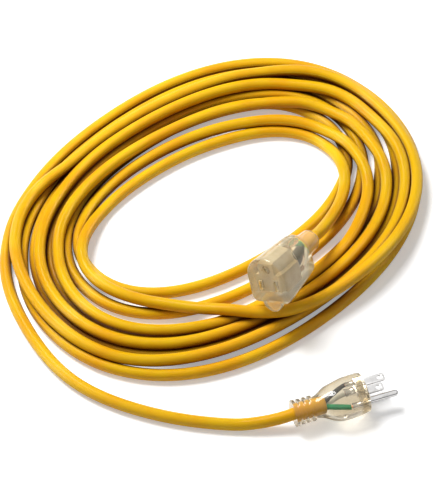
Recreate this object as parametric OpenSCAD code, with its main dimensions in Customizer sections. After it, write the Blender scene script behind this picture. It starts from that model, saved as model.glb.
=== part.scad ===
// Outdoor extension cord, laid in a loose oval coil. Three conductors in a
// round jacket, a clear moulded plug on one end and a clear moulded
// connector on the other. Millimetres, +Z up, floor at z = 0.

/* [Cord] */
// Diameter of the round jacket
cord_d = 8.9; // [7:0.1:8.9]
// Diameter of one insulated conductor
wire_d = 3; // [2.4:0.1:3.2]
// Diameter of the copper inside one conductor
copper_d = 1.5; // [1:0.1:1.8]

/* [Coil] */
// Length of the coil along its slant, which sets the size of the whole lay
coil_l = 340; // [338:1:360]
// Turns of the lower layer, wound inward from the tail
lower_turns = 5.1; // [4:0.1:5.1]
// Turns of the upper layer, wound outward on the lower one
upper_turns = 2.9; // [2:0.1:3.4]
// Height of the upper layer above the lower one, in cord diameters
layer_step = 1.15; // [1.1:0.01:1.4]
// Angle round the oval at which the tail leaves the coil
coil_start = 152; // [148:1:158]
// Part of the cord's diameter that the floor flattens
floor_cut = 0.1; // [0.05:0.01:0.12]

/* [Prongs] */
// Distance between the two blades, and between the two slots
blade_pitch = 12.7; // [12.2:0.1:13.2]
// Distance from the blade line to the ground pin
ground_offset = 11.9; // [11.4:0.1:12.4]
// Thickness of a blade
blade_t = 1.5; // [1.3:0.1:1.7]
// Width of a blade
blade_w = 6.35; // [6:0.05:6.6]
// Length of a blade outside the plug
blade_l = 16; // [15:0.5:18]
// Diameter of the hole near a blade's tip
blade_hole_d = 3.2; // [2.5:0.1:4]
// Distance from a blade's tip to the middle of its hole
blade_hole_in = 4.2; // [3.5:0.1:6]
// Diameter of the ground pin
pin_d = 4.8; // [4.4:0.1:5]
// Diameter of the ground pin's shank inside the plug
pin_shank_d = 4; // [3.6:0.1:4.2]
// Length of the ground pin outside the plug
pin_l = 22.5; // [20:0.5:24]
// Distance of the prongs' middle from the cord's axis
prong_drop = 1; // [0.5:0.1:1.2]

/* [Plug] */
// Length of the plug from its face to the end of its strain relief
plug_l = 54.5; // [51:0.5:60]
// Height of the plug's body at the face, along the blade and pin line
plug_face_h = 30.5; // [30:0.5:32]
// Width of the plug's body at the face, across the blades
plug_face_w = 25; // [24.5:0.5:27]
// Shift of the face away from the ground pin's side
plug_face_lift = 1.1; // [0.5:0.1:1.3]
// Height of the body at its widest, behind the face
plug_grip_h = 32; // [32:0.5:34]
// Width of the body at its widest
plug_grip_w = 26; // [25.5:0.5:29]
// Distance from the face to the widest place
plug_grip_in = 14; // [12:0.5:16]
// Distance from the face to the heel, where the body turns in
plug_heel_in = 22; // [20:0.5:24]
// Rounding of the face's edge
plug_face_round = 1.4; // [0.5:0.1:2]
// Length of the ribbed strain relief
plug_relief_l = 19; // [16:0.5:22]
// Number of ribs on the strain relief
plug_ribs = 4; // [3:1:5]
// Thickness of a rib
plug_rib_t = 2.4; // [1.5:0.1:2.8]
// Diameter over the ribs
plug_rib_d = 19.5; // [18:0.5:21]
// Diameter of the strain relief between the ribs
plug_neck_d = 15; // [13:0.5:17]
// Length of jacket held inside the plug
plug_jacket_l = 24.5; // [22:0.5:28]

/* [Connector] */
// Length of the body from its face to the rear shoulder
conn_body_l = 44; // [43:0.5:50]
// Width of the face
conn_face_w = 33; // [32:0.5:38]
// Height of the face above the cord's axis
conn_face_top = 16; // [15.5:0.5:18]
// Depth of the face below the cord's axis
conn_face_low = 20; // [18:0.5:21]
// Share of the face's size that the rear shoulder has
conn_rear_share = 0.81; // [0.78:0.01:0.95]
// Shift of the rear shoulder away from the tab
conn_rear_lift = 1.5; // [1:0.1:2]
// Radius of the lower corners
conn_corner_r = 5; // [4:0.5:7]
// Width of the rounded tab under the face
tab_w = 15; // [14:0.5:18]
// Distance that the tab stands out below the body
tab_drop = 7.5; // [5:0.5:8]
// Length of the tab along the body
tab_l = 5.5; // [4:0.5:12]
// Length of the connector's strain relief
conn_relief_l = 16; // [12:0.5:18]
// Diameter of the strain relief at the shoulder
conn_relief_d = 19; // [16:0.5:20]
// Diameter of the strain relief at the cord
conn_relief_end_d = 16; // [13:0.5:17]
// Thickness of the face in front of the contacts
conn_wall = 3; // [2.4:0.1:4]
// Height of the hot slot
slot_hot_h = 7; // [6.8:0.1:7.4]
// Height of the neutral slot
slot_neutral_h = 8.4; // [8:0.1:9]
// Width of a slot
slot_w = 2.2; // [2:0.1:2.6]
// Diameter of the ground hole
ground_hole_d = 5.3; // [5.1:0.1:5.8]
// Length of jacket held inside the connector
conn_jacket_l = 17; // [14:0.5:22]

/* [Contacts] */
// Length of the moulded block that holds the contacts
carrier_l = 21; // [20:0.5:24]
// Length of a contact's leaves
contact_l = 17; // [14:0.5:19]
// Thickness of a contact's leaves
leaf_t = 0.8; // [0.6:0.1:1]
// Length of the moulded bridge that holds the prongs
bridge_l = 4; // [3:0.5:7]
// Outer diameter of a crimp barrel
barrel_d = 4; // [3.6:0.1:4.6]
// Length of a crimp barrel
barrel_l = 6; // [5:0.5:7]

/* [Indicator lamp] */
// Diameter of the lamp's glass
lamp_d = 5; // [4:0.1:5.4]
// Length of the lamp's glass
lamp_l = 11; // [9:0.5:13]
// Diameter of the lamp's resistor
resistor_d = 2.4; // [1.8:0.1:3]
// Length of the lamp's resistor
resistor_l = 6.5; // [5:0.5:8]
// Diameter of the lamp's leads
lamp_lead_d = 0.6; // [0.5:0.05:0.8]

/* [Fits] */
// Clearance between a moulded body and what it is moulded round
mould_gap = 0.1; // [0.05:0.05:0.2]
// Clearance of a blade or pin in the piece that it meets
prong_gap = 0.1; // [0.05:0.05:0.2]

/* [Hidden] */

cord_r = cord_d / 2;
round_fn = 48;
hull_fn = 32;

// ---- Coil -----------------------------------------------------------
// The lay is drawn for a coil 340 long and a cord 8.9 thick, and follows
// the real length and thickness from there.
lay_k = coil_l / 340;
lift_k = cord_d / 8.9;
// An oval is [centre x, centre y, half length, half width, tilt, power];
// a power of 2 is an ellipse and a higher one is squarer.
lower_outside = [4.7, -2, 171.1, 129.7, 41.9, 2.23];
lower_inside = [-1.5, 17.4, 110.3, 61.9, 35.3, 2.23];
upper_outside = [5, 0, 159, 112, 36, 2.3];
upper_inside = [5, -8, 119, 77, 32, 2.1];
loop_rings = 24;
coil_sides = 6;
coil_turns = lower_turns + upper_turns;
lower_z = (0.5 - floor_cut) * cord_d;
climb_turns = 0.5;

function mix(a, b, f) = a * (1 - f) + b * f;
function ease(f) = let (g = min(1, max(0, f))) g * g * (3 - 2 * g);
function unit(v) = v / norm(v);

// A point on an oval, at an angle round it
function on_oval(o, a) =
    let (c = cos(a), s = sin(a), p = o[5],
         k = pow(pow(abs(c), p) + pow(abs(s), p), -1 / p),
         x = k * o[2] * c, y = k * o[3] * s)
    lay_k * [o[0] + x * cos(o[4]) - y * sin(o[4]),
             o[1] + x * sin(o[4]) + y * cos(o[4])];

// Lanes run at a steady rate inward and then outward, turning round
// smoothly in the half turn where the cord climbs to the upper layer.
function coil_point(t) =
    let (u = t - lower_turns, w = climb_turns / 2,
         s = ease(u / climb_turns + 0.5),
         g = abs(u) >= w ? abs(u) : u * u / (2 * w) + w / 2,
         f = mix(g / lower_turns, g / upper_turns, s),
         a = coil_start - 360 * t,
         inner = on_oval(mix(lower_inside, upper_inside, s), a),
         outer = on_oval(mix(lower_outside, upper_outside, s), a),
         p = mix(inner, outer, f))
    [p[0], p[1], lower_z + s * layer_step * cord_d];

// The tail takes over after this share of the first turn
coil_from = 1 / loop_rings;
coil_steps = round((coil_turns - coil_from) * loop_rings);
coil_core = [for (i = [0:coil_steps])
    coil_point(mix(coil_from, coil_turns, i / coil_steps))];
tail_way = unit(coil_core[0] - coil_point(coil_from + 0.002));
lead_way = unit(coil_core[coil_steps] - coil_core[coil_steps - 1]);
coil_tail_end = coil_core[0] + cord_d * tail_way;
coil_lead_end = coil_core[coil_steps] + cord_d * lead_way;
coil_route = concat([coil_tail_end], coil_core, [coil_lead_end]);

// ---- Places of the plug and the connector ---------------------------
plug_yaw = 18.5;
plug_at = [108.9 * lay_k, -161.9 * lay_k, plug_grip_w / 2];
conn_yaw = 234.5;
conn_pitch = 16.5;
conn_roll = 27;
conn_at = [38.7 * lay_k, -91.5 * lay_k, 54.2 * lift_k];

module place_plug()
    home() translate(plug_at) rotate([0, 0, plug_yaw])
        rotate([-90, 0, 0]) children();
module place_connector()
    home() translate(conn_at) rotate([0, 0, conn_yaw])
        rotate([0, -conn_pitch, 0]) rotate([conn_roll, 0, 0]) children();

plug_out = [cos(plug_yaw), sin(plug_yaw), 0];
conn_out = [cos(conn_yaw) * cos(conn_pitch),
            sin(conn_yaw) * cos(conn_pitch), sin(conn_pitch)];
conn_l = conn_body_l + conn_relief_l;
plug_cord_end = plug_at - plug_l * plug_out;
conn_cord_end = conn_at - conn_l * conn_out;

// ---- Free cord ------------------------------------------------------
// From the coil's outer lower turn round the front to the plug
tail_points = [
    [-153.9, -54.2, 4.3], [-148.3, -73.2, 4.5], [-140.6, -90.8, 4.5],
    [-129.2, -111.8, 4.5], [-116.5, -130.8, 4.5], [-100.5, -147.9, 4.5],
    [-77.9, -161.4, 4.5], [-51.3, -171.5, 4.5], [-22.7, -179.4, 4.5],
    [3.6, -182.4, 5.5], [26.5, -184.6, 9.6]
];
// From the coil's outer upper turn once round the outside, across the
// front to the inside, and round the inside to the connector
lead_points = [
    [-144, 6, 14], [-115.5, 36.5, 14], [-81, 71, 14.5], [-38.5, 102.5, 14.5],
    [8.5, 125.5, 14], [54, 137, 14], [98, 127, 14], [131, 99, 14],
    [154, 55, 15.5], [155, 16, 13.5], [140, -24.5, 21], [117, -55, 23],
    [86, -80.5, 22.4], [53.5, -98.5, 23], [23.6, -97.5, 23.8], [2.1, -92.4, 21.7],
    [-23.3, -87.7, 16.1], [-45, -82.2, 14.8], [-68.3, -77.9, 18], [-90.5, -62.9, 17.6],
    [-99.8, -44.4, 16.4], [-99.8, -27, 14.8], [-93.9, -12.9, 13], [-80.1, 10.1, 5.9],
    [-63.5, 27.6, 5.1], [-20, 60, 4.5], [31.7, 80.3, 5.5], [62.6, 83.7, 4.3],
    [87.4, 71.7, 6.3], [102.3, 46.2, 13.1], [102.8, 22.9, 13.1], [93.9, -0.4, 17],
    [85.3, -19.5, 25.3]
];
route_steps = 2;
free_sides = 8;

function laid(p) = [for (q = p) [q[0] * lay_k, q[1] * lay_k, q[2] * lift_k]];

// Smooth curve through points, with its ends straight for one diameter
function curve_at(a, b, c, d, t) =
    (2 * b + (c - a) * t + (2 * a - 5 * b + 4 * c - d) * t * t
     + (3 * b - a - 3 * c + d) * t * t * t) / 2;
function smooth_route(p) = let (n = len(p) - 1) concat(
    [p[0]],
    [for (i = [1:n - 2], k = [0:route_steps - 1])
        curve_at(p[i - 1], p[i], p[i + 1], p[i + 2], k / route_steps)],
    [p[n - 1], p[n]]);
tail_route = smooth_route(concat(
    [coil_tail_end, coil_tail_end + cord_d * tail_way], laid(tail_points),
    [plug_cord_end - cord_d * plug_out, plug_cord_end]));
lead_route = smooth_route(concat(
    [coil_lead_end, coil_lead_end + cord_d * lead_way], laid(lead_points),
    [conn_cord_end - cord_d * conn_out, conn_cord_end]));

// ---- Tube swept along a route, flat where it lies on the floor ------
function way_at(p, i) = let (n = len(p) - 1)
    unit(i <= 1 ? p[1] - p[0]
        : i >= n - 1 ? p[n] - p[n - 1]
        : unit(p[i + 1] - p[i]) + unit(p[i] - p[i - 1]));
// A ring of a radius round point i; "side" is square to the ring's way
function ring_at(p, i, sides, r, side) =
    let (w = way_at(p, i), across = unit(cross(w, side)),
         up = cross(across, w))
    [for (k = [0:sides - 1])
        let (a = 360 * (k + 0.5) / sides + 90)
        p[i] + r * (cos(a) * across + sin(a) * up)];
function on_floor(ring) = [for (v = ring) [v[0], v[1], max(0, v[2])]];
// Walls between rings that follow each other in a list of points
function walls(n, sides, first = 0) = [
    for (i = [0:n - 2], k = [0:sides - 1])
        let (a = first + i * sides + k,
             b = first + i * sides + (k + 1) % sides)
        each [[a, b, b + sides], [a, b + sides, a + sides]]];
function back_to_front(faces) = [for (f = faces) [f[2], f[1], f[0]]];
function tube_points(p, sides) = [for (i = [0:len(p) - 1])
    each on_floor(ring_at(p, i, sides, cord_r, [0, 0, 1]))];
module tube(points, sides) {
    n = len(points) / sides;
    last = (n - 1) * sides;
    ends = [for (k = [1:sides - 2])
        each [[0, k + 1, k], [last, last + k, last + k + 1]]];
    home() polyhedron(points, concat(walls(n, sides), ends),
        convexity = 10);
}
coil_points = tube_points(coil_route, coil_sides);
tail_tube_points = tube_points(tail_route, free_sides);
lead_tube_points = tube_points(lead_route, free_sides);

// The origin is in the middle of the whole cord's footprint
cord_points = concat(coil_points, tail_tube_points, lead_tube_points);
function middle_of(v) = (min(v) + max(v)) / 2;
middle = [middle_of([for (q = cord_points) q[0]]),
          middle_of([for (q = cord_points) q[1]]), 0];
module home() translate(-middle) children();

// ---- Small bent rods and sleeves, eight-sided ------------------------
rod_sides = 8;
module bent_rod(p, d, side = [0, 0, 1]) {
    n = len(p);
    last = (n - 1) * rod_sides;
    ends = [for (k = [1:rod_sides - 2])
        each [[0, k + 1, k], [last, last + k, last + k + 1]]];
    polyhedron([for (i = [0:n - 1])
        each ring_at(p, i, rod_sides, d / 2, side)],
        concat(walls(n, rod_sides), ends), convexity = 6);
}
module bent_sleeve(p, d, bore_d) {
    n = len(p);
    m = n * rod_sides;
    last = m - rod_sides;
    rims = [for (k = [0:rod_sides - 1]) let (j = (k + 1) % rod_sides)
        each [[k, m + k, m + j], [k, m + j, j],
              [last + k, last + j, m + last + j],
              [last + k, m + last + j, m + last + k]]];
    points = [for (r = [d, bore_d] / 2, i = [0:n - 1])
        each ring_at(p, i, rod_sides, r, [0, 0, 1])];
    polyhedron(points, concat(walls(n, rod_sides),
        back_to_front(walls(n, rod_sides, m)), rims), convexity = 6);
}

// ---- Measures that the source prints --------------------------------
function run(p, i = 0) =
    i >= len(p) - 1 ? 0 : norm(p[i + 1] - p[i]) + run(p, i + 1);
function reach_to(q, a, b) =
    let (v = b - a, t = min(1, max(0, (q - a) * v / (v * v))))
    norm(q - a - t * v);
function least_gap(p, skip) = min([
    for (i = [0:len(p) - 1], j = [i + skip:len(p) - 2])
        reach_to(p[i], p[j], p[j + 1])]) - cord_d;
function gap_between(p, q) = min([
    for (a = p, j = [0:len(q) - 2]) reach_to(a, q[j], q[j + 1])]) - cord_d;

module cord_coil() {
    echo(coil_gap = least_gap(coil_route, loop_rings / 2));
    echo(lead_gap = min(
        gap_between([for (i = [3:loop_rings / 2]) lead_route[i]],
            [for (i = [0:coil_steps - loop_rings / 2]) coil_core[i]]),
        gap_between([for (i = [loop_rings / 2:len(lead_route) - 1])
            lead_route[i]], coil_core)));
    echo(tail_gap = gap_between(
        [for (i = [3:len(tail_route) - 1]) tail_route[i]],
        [for (i = [loop_rings / 2:coil_steps]) coil_core[i]]));
    echo(middle = middle);
    echo(cord_length = run(coil_route) + run(tail_route)
        + run(lead_route) + plug_jacket_l + conn_jacket_l);
    color("gold") tube(coil_points, coil_sides);
}
module cord_tail() color("gold") tube(tail_tube_points, free_sides);
module cord_lead() color("gold") tube(lead_tube_points, free_sides);

// ---- Bars and boxes along X ------------------------------------------
// Cylinder along X from one place to another
module bar_x(x0, x1, d, y = 0, z = 0)
    translate([x0, y, z]) rotate([0, 90, 0])
        cylinder(h = x1 - x0, d = d, $fn = round_fn);
// Box along X, centred on a line across
module box_x(x0, x1, w, h, y = 0, z = 0)
    translate([x0, y - w / 2, z - h / 2]) cube([x1 - x0, w, h]);

// ---- Plug, in its own frame: face at x = 0, prongs to +X ------------
blade_z = ground_offset / 2 - prong_drop;
pin_z = -ground_offset / 2 - prong_drop;
// The ground pin's full thickness starts just outside the face
pin_seat = 0.3;
bridge_front = -2;
bridge_wall = 0.6;
bridge_back = bridge_front - bridge_l;
bridge_w = blade_pitch + blade_t + 2 * bridge_wall;
bridge_h = ground_offset + blade_w / 2 + pin_d / 2 + 2 * bridge_wall;
bridge_z = (blade_w / 2 - pin_d / 2) / 2 - prong_drop;
shank_back = bridge_back - 1;
plug_jacket_front = -plug_l + plug_jacket_l;
wire_apart = 0.25;
wire_ring = wire_d / sqrt(3) + wire_apart;
wire_strip = 2.5;
plug_wire_end = shank_back - barrel_l - wire_strip / 2;

// Start of a conductor in the jacket, at an angle round the axis
function strand(x, a) = [x, wire_ring * cos(a), wire_ring * sin(a)];
function plug_run(y, z, a) = [
    strand(plug_jacket_front, a), strand(plug_jacket_front + 1, a),
    [plug_wire_end - 0.5, y, z], [plug_wire_end, y, z]];
function copper_run(p, x, y, z) = concat(p, [[x, y, z]]);
black_angle = 150;
white_angle = 30;
green_angle = -90;
plug_hot_run = plug_run(-blade_pitch / 2, blade_z, black_angle);
plug_neutral_run = plug_run(blade_pitch / 2, blade_z, white_angle);
plug_ground_run = plug_run(0, pin_z, green_angle);

// Length over which the body turns in behind the heel, and how far the
// heel hangs towards the ground pin's side
plug_turn_l = 6.5;
plug_heel_drop = 0.75;

// Thin slice of the body: an ellipse of a width and a height
module slice(x, w, h, z = 0)
    translate([x, 0, z]) rotate([0, 90, 0])
        scale([h, w, 1]) cylinder(h = 0.02, d = 1, $fn = hull_fn);

module wire(p) bent_sleeve(p, wire_d, copper_d + 2 * mould_gap);

module barrel(y, z, x) difference() {
    bar_x(x - barrel_l, x, barrel_d, y, z);
    bar_x(x - barrel_l - 1, x - 1, copper_d + 2 * mould_gap, y, z);
}

module blade(y) {
    difference() {
        union() {
            translate([0, y + blade_t / 2, 0]) rotate([90, 0, 0])
                linear_extrude(height = blade_t) polygon([
                    [shank_back, blade_z - blade_w / 2],
                    [blade_l - blade_w / 4, blade_z - blade_w / 2],
                    [blade_l, blade_z - blade_w / 4],
                    [blade_l, blade_z + blade_w / 4],
                    [blade_l - blade_w / 4, blade_z + blade_w / 2],
                    [shank_back, blade_z + blade_w / 2]]);
            bar_x(shank_back - 1, shank_back, barrel_d, y, blade_z);
        }
        translate([blade_l - blade_hole_in, y + blade_t, blade_z])
            rotate([90, 0, 0])
                cylinder(h = 2 * blade_t, d = blade_hole_d, $fn = round_fn);
    }
    barrel(y, blade_z, shank_back - 1);
}

module pin() {
    bar_x(shank_back, pin_seat, pin_shank_d, 0, pin_z);
    bar_x(pin_seat, pin_l - pin_d / 2, pin_d, 0, pin_z);
    intersection() {
        translate([pin_l - pin_d / 2, 0, pin_z])
            sphere(d = pin_d, $fn = round_fn);
        box_x(pin_l - pin_d / 2, pin_l, pin_d, pin_d, 0, pin_z);
    }
    barrel(0, pin_z, shank_back);
}

module prong_holes(x0, grow, round_d) {
    for (y = [-1, 1] * blade_pitch / 2)
        box_x(x0, 1, blade_t + 2 * grow, blade_w + 2 * grow, y, blade_z);
    bar_x(x0, 1, round_d + 2 * grow, 0, pin_z);
}

module plug_outside() {
    shoulder_x = -plug_l + plug_relief_l;
    hull() {
        slice(shoulder_x, plug_neck_d + 2, plug_neck_d + 2);
        slice(-plug_heel_in - plug_turn_l, 0.88 * plug_grip_w,
            0.79 * plug_grip_h);
        slice(-plug_heel_in, 0.98 * plug_grip_w, 0.93 * plug_grip_h,
            -plug_heel_drop);
        slice(-plug_grip_in, plug_grip_w, plug_grip_h);
        slice(-plug_face_round, plug_face_w, plug_face_h, plug_face_lift);
        slice(-0.02, plug_face_w - 2 * plug_face_round,
            plug_face_h - 2 * plug_face_round, plug_face_lift);
    }
    bar_x(-plug_l, shoulder_x + 0.5, plug_neck_d);
    rib_pitch = (plug_relief_l - plug_rib_t) / plug_ribs;
    for (i = [0:plug_ribs - 1]) {
        x = -plug_l + i * rib_pitch;
        bar_x(x, x + plug_rib_t, i == 0 ? plug_rib_d : plug_rib_d - 0.7);
    }
}

module plug_cavity() {
    prong_holes(bridge_front - 1, prong_gap, pin_d);
    box_x(bridge_back - mould_gap, bridge_front + mould_gap,
        bridge_w + 2 * mould_gap, bridge_h + 2 * mould_gap, 0, bridge_z);
    for (y = [-1, 1] * blade_pitch / 2) {
        box_x(shank_back - mould_gap, bridge_back, blade_t + 2 * mould_gap,
            blade_w + 2 * mould_gap, y, blade_z);
        bar_x(shank_back - 1 - barrel_l - mould_gap, bridge_back,
            barrel_d + 2 * mould_gap, y, blade_z);
    }
    bar_x(shank_back - barrel_l - mould_gap, bridge_back,
        pin_d + 2 * mould_gap, 0, pin_z);
    bar_x(-plug_l - 1, plug_jacket_front + mould_gap,
        cord_d + 2 * mould_gap);
    for (p = [plug_hot_run, plug_neutral_run, plug_ground_run])
        bent_rod(concat(p, [p[3] + [wire_strip, 0, 0]]),
            wire_d + 2 * mould_gap);
}

module plug_body() color("wheat", 0.5) place_plug() difference() {
    plug_outside();
    plug_cavity();
}
module plug_bridge() color("ivory") place_plug() difference() {
    box_x(bridge_back, bridge_front, bridge_w, bridge_h, 0, bridge_z);
    prong_holes(bridge_back - 1, prong_gap, pin_shank_d);
}
module plug_blade_hot()
    color("gainsboro") place_plug() blade(-blade_pitch / 2);
module plug_blade_neutral()
    color("gainsboro") place_plug() blade(blade_pitch / 2);
module plug_ground_pin() color("gainsboro") place_plug() pin();
module plug_jacket_end() color("gold") place_plug() difference() {
    bar_x(-plug_l, plug_jacket_front, cord_d);
    for (a = [black_angle, white_angle, green_angle])
        bar_x(plug_jacket_front - 1, plug_jacket_front + 1,
            copper_d + 2 * mould_gap, wire_ring * cos(a),
            wire_ring * sin(a));
}
module plug_wire_black()
    color("#161616") place_plug() wire(plug_hot_run);
module plug_wire_white()
    color("white") place_plug() wire(plug_neutral_run);
module plug_wire_green()
    color("seagreen") place_plug() wire(plug_ground_run);
module plug_copper() color("peru") place_plug() {
    for (r = [
        [plug_hot_run, -blade_pitch / 2, blade_z, 1],
        [plug_neutral_run, blade_pitch / 2, blade_z, 1],
        [plug_ground_run, 0, pin_z, 0]
    ])
        bent_rod(concat([r[0][0] - [0.8, 0, 0]],
            [for (i = [1:2]) r[0][i]],
            [[shank_back - r[3] - 1.2, r[1], r[2]]]), copper_d);
}

// ---- Connector, in its own frame: face at x = 0, opening to +X ------
slot_z = -ground_offset / 2;
hole_z = ground_offset / 2;
carrier_front = -conn_wall;
carrier_back = carrier_front - carrier_l;
carrier_w = blade_pitch + 8;
carrier_low = 11.5;
carrier_step = 2;
carrier_top = 11;
carrier_top_w = 13;
contact_w = blade_t + 2 * leaf_t + 0.2;
contact_h = blade_w + 0.4;
contact_back = carrier_front - contact_l - 1;
sleeve_d = pin_d + 2 * leaf_t + 0.2;
conn_jacket_front = -conn_l + conn_jacket_l;
conn_wire_end = carrier_back - barrel_l;

function conn_run(y, z, a) = [
    strand(conn_jacket_front, a), strand(conn_jacket_front + 1, a),
    [conn_wire_end - wire_strip - 0.5, y, z],
    [conn_wire_end - wire_strip / 2, y, z]];
conn_hot_run = conn_run(-blade_pitch / 2, slot_z, -black_angle);
conn_neutral_run = conn_run(blade_pitch / 2, slot_z, -white_angle);
conn_ground_run = conn_run(0, hole_z, -green_angle);

// Points round the body: the arched top, a lower corner, the tab and the
// other corner. "drop" is the share of the tab that shows.
arch_steps = 16;
corner_steps = 4;
tab_steps = 8;
tab_r = tab_w / 2;
tab_side = acos(min(1, (tab_r - tab_drop) / tab_r));
function body_outline(share, drop) =
    let (half = share * conn_face_w / 2, low = share * conn_face_low,
         top = share * conn_face_top, r = share * conn_corner_r)
    concat(
    [for (k = [0:arch_steps]) let (a = 180 * k / arch_steps)
        [half * cos(a), top * sin(a)]],
    [for (k = [0:corner_steps]) let (a = 180 + 90 * k / corner_steps)
        [r - half + r * cos(a), r - low + r * sin(a)]],
    [for (k = [0:tab_steps])
        let (a = 270 + tab_side * (2 * k / tab_steps - 1))
        [mix(share, 1, drop) * tab_r * cos(a), -low - drop * (tab_drop - tab_r * (1 + sin(a)))]],
    [for (k = [0:corner_steps]) let (a = 270 + 90 * k / corner_steps)
        [half - r + r * cos(a), r - low + r * sin(a)]]);
round_outline = body_outline(1, 0);
function body_ring(x, share, drop, lift = 0) =
    [for (q = body_outline(share, drop)) [x, q[0], q[1] + lift]];
function round_ring(x, d) =
    [for (q = round_outline) [x, d / 2 * q[0] / norm(q), d / 2 * q[1] / norm(q)]];

face_edge = 1;
face_share = 0.97;
shoulder_l = 5;
conn_rings = [
    round_ring(-conn_l, conn_relief_end_d),
    round_ring(-conn_body_l, conn_relief_d),
    body_ring(-conn_body_l + 1.5, 0.82 * conn_rear_share, 0, conn_rear_lift),
    body_ring(-conn_body_l + shoulder_l, conn_rear_share, 0, conn_rear_lift),
    body_ring(-tab_l - 2, 1 - 0.1 * (1 - conn_rear_share), 0),
    body_ring(-tab_l, 1 - 0.06 * (1 - conn_rear_share), 1),
    body_ring(-face_edge - 1.5, 1, 1),
    body_ring(-face_edge, 1, 1),
    body_ring(0, face_share, 1)
];

module conn_outside() {
    sides = len(round_outline);
    n = len(conn_rings);
    first = n * sides;
    last = (n - 1) * sides;
    ends = [for (k = [0:sides - 1]) let (j = (k + 1) % sides)
        each [[first, k, j], [first + 1, last + j, last + k]]];
    polyhedron(
        concat([for (r = conn_rings) each r], [[-conn_l, 0, 0], [0, 0, 0]]),
        concat(back_to_front(walls(n, sides)), ends), convexity = 8);
}

module contact(y) {
    for (s = [-1, 1])
        box_x(contact_back, carrier_front - 1, leaf_t, contact_h,
            y + s * (contact_w - leaf_t) / 2, slot_z);
    box_x(contact_back - leaf_t, contact_back, contact_w, contact_h,
        y, slot_z);
    bar_x(carrier_back, contact_back - leaf_t, barrel_d, y, slot_z);
    barrel(y, slot_z, carrier_back);
}
module sleeve() {
    difference() {
        bar_x(contact_back, carrier_front - 1, sleeve_d, 0, hole_z);
        bar_x(contact_back + leaf_t, 0, pin_d + 0.2, 0, hole_z);
        box_x(contact_back + 2, 0, 1, sleeve_d, 0, hole_z + sleeve_d / 2);
    }
    bar_x(carrier_back, contact_back, barrel_d, 0, hole_z);
    barrel(0, hole_z, carrier_back);
}
// Wide where the slots are and narrower round the ground sleeve
module carrier_shape(gap = 0) {
    box_x(carrier_back - gap, carrier_front + gap, carrier_w + 2 * gap,
        carrier_low + carrier_step + 2 * gap, 0,
        (carrier_step - carrier_low) / 2);
    box_x(carrier_back - gap, carrier_front + gap, carrier_top_w + 2 * gap,
        carrier_top + gap, 0, (carrier_top + gap) / 2);
}
// Room that the contacts take in the carrier
module contact_room(gap) {
    for (y = [-1, 1] * blade_pitch / 2) {
        box_x(contact_back - leaf_t - gap, 1, contact_w + 2 * gap,
            contact_h + 2 * gap, y, slot_z);
        bar_x(carrier_back - 1, contact_back, barrel_d + 2 * gap, y,
            slot_z);
    }
    bar_x(contact_back - gap, 1, sleeve_d + 2 * gap, 0, hole_z);
    bar_x(carrier_back - 1, contact_back, barrel_d + 2 * gap, 0, hole_z);
}

lamp_at = [carrier_back - 4, 3.5, 10.2];
resistor_at = [carrier_back - 4, -5.5, 10];
lamp_tip_l = 2;
lamp_tip_d = 2.4;
// Glass with a tapered tip at each end
module lamp_shape(gap = 0)
    translate(lamp_at + [gap, 0, 0]) rotate([0, -90, 0])
        rotate_extrude($fn = round_fn) polygon([
            [0, 0], [lamp_tip_d / 2 + gap, 0],
            [lamp_d / 2 + gap, lamp_tip_l + gap],
            [lamp_d / 2 + gap, lamp_l - lamp_tip_l + gap],
            [lamp_tip_d / 2 + gap, lamp_l + 2 * gap],
            [0, lamp_l + 2 * gap]]);
module resistor_shape(gap = 0)
    translate(resistor_at)
        bar_x(-resistor_l - gap, gap, resistor_d + 2 * gap);
lamp_lead_sides = [[0, 1, 0], [0, 0, 1], [0, 1, 0]];
lamp_lead_runs = [
    [lamp_at + [0, 0, 0], lamp_at + [1.6, 0, 0],
     [carrier_back - 2, blade_pitch / 2, slot_z + barrel_d / 2 + 3],
     [carrier_back - 2, blade_pitch / 2, slot_z + barrel_d / 2]],
    [lamp_at - [lamp_l, 0, 0], lamp_at - [lamp_l + 1, 0, 0],
     resistor_at - [resistor_l + 1.5, 0, 0], resistor_at - [resistor_l, 0, 0]],
    [resistor_at, resistor_at + [1.6, 0, 0],
     [carrier_back - 2, -blade_pitch / 2, slot_z + barrel_d / 2 + 3],
     [carrier_back - 2, -blade_pitch / 2, slot_z + barrel_d / 2]]
];

module lamp_lead_shapes(gap = 0)
    for (i = [0:2])
        bent_rod(lamp_lead_runs[i], lamp_lead_d + 2 * gap, lamp_lead_sides[i]);

module conn_cavity() {
    for (s = [[-1, slot_hot_h], [1, slot_neutral_h]])
        box_x(carrier_front - 1, 1, slot_w, s[1], s[0] * blade_pitch / 2,
            slot_z);
    bar_x(carrier_front - 1, 1, ground_hole_d, 0, hole_z);
    carrier_shape(mould_gap);
    for (p = [[-blade_pitch / 2, slot_z], [blade_pitch / 2, slot_z],
              [0, hole_z]])
        bar_x(carrier_back - barrel_l - mould_gap, carrier_back,
            barrel_d + 2 * mould_gap, p[0], p[1]);
    bar_x(-conn_l - 1, conn_jacket_front + mould_gap,
        cord_d + 2 * mould_gap);
    for (p = [conn_hot_run, conn_neutral_run, conn_ground_run])
        bent_rod(concat(p, [p[3] + [wire_strip, 0, 0]]),
            wire_d + 2 * mould_gap);
    lamp_shape(mould_gap);
    resistor_shape(mould_gap);
    lamp_lead_shapes(mould_gap);
}

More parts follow.
